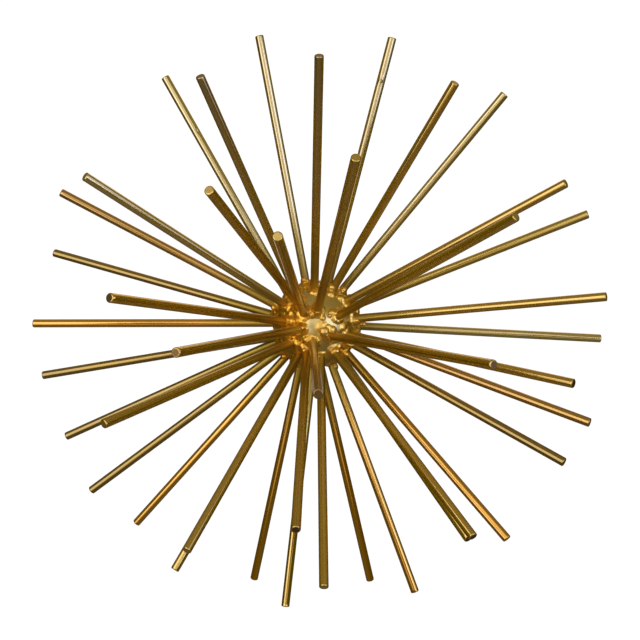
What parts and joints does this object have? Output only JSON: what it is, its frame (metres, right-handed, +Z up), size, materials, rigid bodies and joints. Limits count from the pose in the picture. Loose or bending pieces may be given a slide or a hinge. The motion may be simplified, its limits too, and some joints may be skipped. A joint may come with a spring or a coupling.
{
  "type": "half-burst rod wall sculpture",
  "caption": "Wall sculpture of straight round gold rods welded over the front half of a ball, hung by a keyhole plate.",
  "frame": {"origin": "centre of the hanger plate's wall face, on the ball's front-to-back axis", "axes": "+Y into the wall, so the rods stand out towards -Y; +Z up; +X to the viewer's right"},
  "size_m": [0.2996, 0.1756, 0.2961],
  "materials": {
    "gold_rod": "satin gold coat over steel rod, fine drawn lines along its length",
    "gold_ball": "polished gold coat over a smooth steel ball",
    "gold_weld": "glossy gold coat over lumpy weld beads",
    "gold_hanger": "satin gold coat over sheet steel"
  },
  "bodies": {
    "root": {"centre_rod_01": "gold_rod", "centre_rod_02": "gold_rod", "centre_rod_03": "gold_rod", "centre_rod_04": "gold_rod", "centre_weld_beads": "gold_weld", "hanger_collar": "gold_hanger", "hanger_weld_back": "gold_weld", "hanger_weld_front": "gold_weld", "hub_ball": "gold_ball", "inner_rod_01": "gold_rod", "inner_rod_02": "gold_rod", "inner_rod_03": "gold_rod", "inner_rod_04": "gold_rod", "inner_rod_05": "gold_rod", "inner_rod_06": "gold_rod", "inner_rod_07": "gold_rod", "inner_rod_08": "gold_rod", "inner_rod_09": "gold_rod", "inner_rod_10": "gold_rod", "inner_weld_beads": "gold_weld", "keyhole_plate": "gold_hanger", "outer_rod_01": "gold_rod", "outer_rod_02": "gold_rod", "outer_rod_03": "gold_rod", "outer_rod_04": "gold_rod", "outer_rod_05": "gold_rod", "outer_rod_06": "gold_rod", "outer_rod_07": "gold_rod", "outer_rod_08": "gold_rod", "outer_rod_09": "gold_rod", "outer_rod_10": "gold_rod", "outer_rod_11": "gold_rod", "outer_weld_beads": "gold_weld", "rim_rod_01": "gold_rod", "rim_rod_02": "gold_rod", "rim_rod_03": "gold_rod", "rim_rod_04": "gold_rod", "rim_rod_05": "gold_rod", "rim_rod_06": "gold_rod", "rim_rod_07": "gold_rod", "rim_rod_08": "gold_rod", "rim_rod_09": "gold_rod", "rim_rod_10": "gold_rod", "rim_rod_11": "gold_rod", "rim_rod_12": "gold_rod", "rim_rod_13": "gold_rod", "rim_rod_14": "gold_rod", "rim_rod_15": "gold_rod", "rim_rod_16": "gold_rod", "rim_rod_17": "gold_rod", "rim_weld_beads": "gold_weld"}
  },
  "joints": []
}
